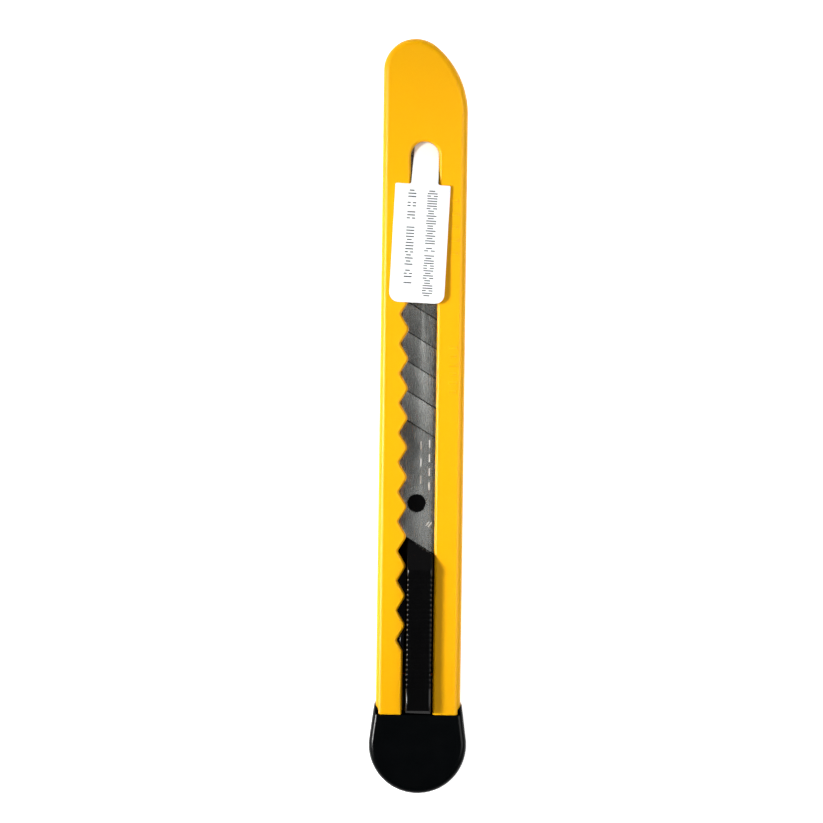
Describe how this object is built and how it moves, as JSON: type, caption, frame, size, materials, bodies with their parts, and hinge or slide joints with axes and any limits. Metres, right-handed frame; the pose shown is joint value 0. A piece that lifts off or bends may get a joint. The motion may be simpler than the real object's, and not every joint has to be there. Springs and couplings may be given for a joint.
{
  "type": "utility knife",
  "caption": "Slim snap-off utility knife: flat notched casing, sliding thumb pad with click detent, scored steel blade, round end cap and a pull-out card tab.",
  "frame": {"origin": "centre of the closed knife's bounding box, on the plane that its back face lies on", "axes": "+Z out of the thumb-pad side, +Y along the knife to the blade's nose, +X to the right seen from the thumb side with the nose up"},
  "size_m": [0.0164, 0.1274, 0.009],
  "materials": {
    "casing": "satin moulded yellow",
    "end_cap": "moulded black",
    "slider": "moulded black",
    "blade": "ground and oiled",
    "safety_tab": "white coated card"
  },
  "bodies": {
    "casing_body": {"casing": "casing"},
    "slider_body": {"slider": "slider", "detent_arm": "slider", "blade": "blade"},
    "cap_body": {"end_cap": "end_cap"},
    "tab_body": {"safety_tab": "safety_tab"}
  },
  "joints": [
    {"name": "slider_slide", "type": "slide", "parent": "casing_body", "child": "slider_body", "axis": [0, 1, 0], "range_m": [0, 0.065], "deforming": ["detent_arm"]},
    {"name": "cap_pull", "type": "slide", "parent": "casing_body", "child": "cap_body", "axis": [0, -1, 0], "range_m": [0, 0.012]},
    {"name": "tab_pull", "type": "slide", "parent": "casing_body", "child": "tab_body", "axis": [-0.0419, -0.9603, 0.2756], "range_m": [0, 0.0325]}
  ],
  "couplings": [
    {"joint": "tab_pull", "follows": "slider_slide", "ratio": 0.5}
  ]
}
